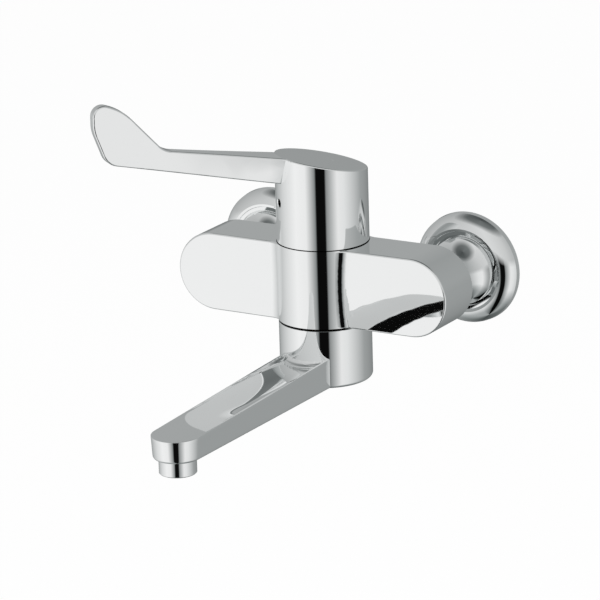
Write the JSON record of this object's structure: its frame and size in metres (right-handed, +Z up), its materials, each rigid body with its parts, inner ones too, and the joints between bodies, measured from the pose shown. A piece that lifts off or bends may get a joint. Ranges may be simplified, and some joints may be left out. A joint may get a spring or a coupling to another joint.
{
  "type": "elbow lever tap",
  "caption": "Wall mounted single lever basin mixer with a long elbow paddle lever, a swivelling dished spout and round wall rosettes, polished chrome.",
  "frame": {"origin": "midpoint between the two wall inlets, on the face of the wall", "axes": "+Y into the wall, +Z up, +X to the right as the user faces the tap"},
  "size_m": [0.2258, 0.2876, 0.214],
  "materials": {
    "polished_chrome": "polished chrome plate",
    "dome_chrome": "satin chrome plate",
    "brass": "machined",
    "steel": "machined stainless",
    "rubber": "matte",
    "cartridge_plastic": "moulded",
    "white_plastic": "moulded",
    "ceramic": "lapped ceramic"
  },
  "bodies": {
    "tap_body": {"mixer_body": "polished_chrome", "cartridge_housing": "cartridge_plastic", "cartridge_seals": "rubber", "ceramic_disc_fixed": "ceramic", "cartridge_nut": "brass", "dome_cover": "dome_chrome", "spout_nipple": "brass", "nipple_o_rings": "rubber", "glide_rings": "white_plastic", "spout_retaining_screw": "polished_chrome", "wall_union_left": "polished_chrome", "wall_union_right": "polished_chrome", "union_nut_left": "polished_chrome", "union_nut_right": "polished_chrome", "union_washer_left": "rubber", "union_washer_right": "rubber", "inlet_filter_left": "white_plastic", "inlet_filter_right": "white_plastic", "rosette_left": "polished_chrome", "rosette_right": "polished_chrome", "rosette_seal_left": "rubber", "rosette_seal_right": "rubber"},
    "turret": {"turret": "cartridge_plastic", "pivot_pin": "steel"},
    "lever": {"lever_handle": "polished_chrome", "lever_grub_screw": "steel", "spindle": "steel"},
    "mixing_disc": {"ceramic_disc_moving": "ceramic", "disc_carrier": "cartridge_plastic"},
    "spout": {"spout": "polished_chrome", "aerator_housing": "polished_chrome", "aerator_insert": "white_plastic", "aerator_washer": "rubber"}
  },
  "joints": [
    {"name": "lever_swing", "type": "hinge", "parent": "tap_body", "child": "turret", "pos_m": [0, -0.064, 0.035], "axis": [0, 0, 1], "range_deg": [-7, 83]},
    {"name": "lever_lift", "type": "hinge", "parent": "turret", "child": "lever", "pos_m": [0, -0.064, 0.035], "axis": [-0.788, 0.6157, 0], "range_deg": [0, 20]},
    {"name": "mixing_slide", "type": "slide", "parent": "turret", "child": "mixing_disc", "axis": [-0.6157, -0.788, 0], "range_m": [0, 0.0028]},
    {"name": "spout_swivel", "type": "hinge", "parent": "tap_body", "child": "spout", "pos_m": [0, -0.064, -0.047], "axis": [0, 0, 1], "range_deg": [-60, 60]}
  ],
  "couplings": [
    {"joint": "mixing_slide", "follows": "lever_lift", "m_per_rad": 0.008}
  ]
}
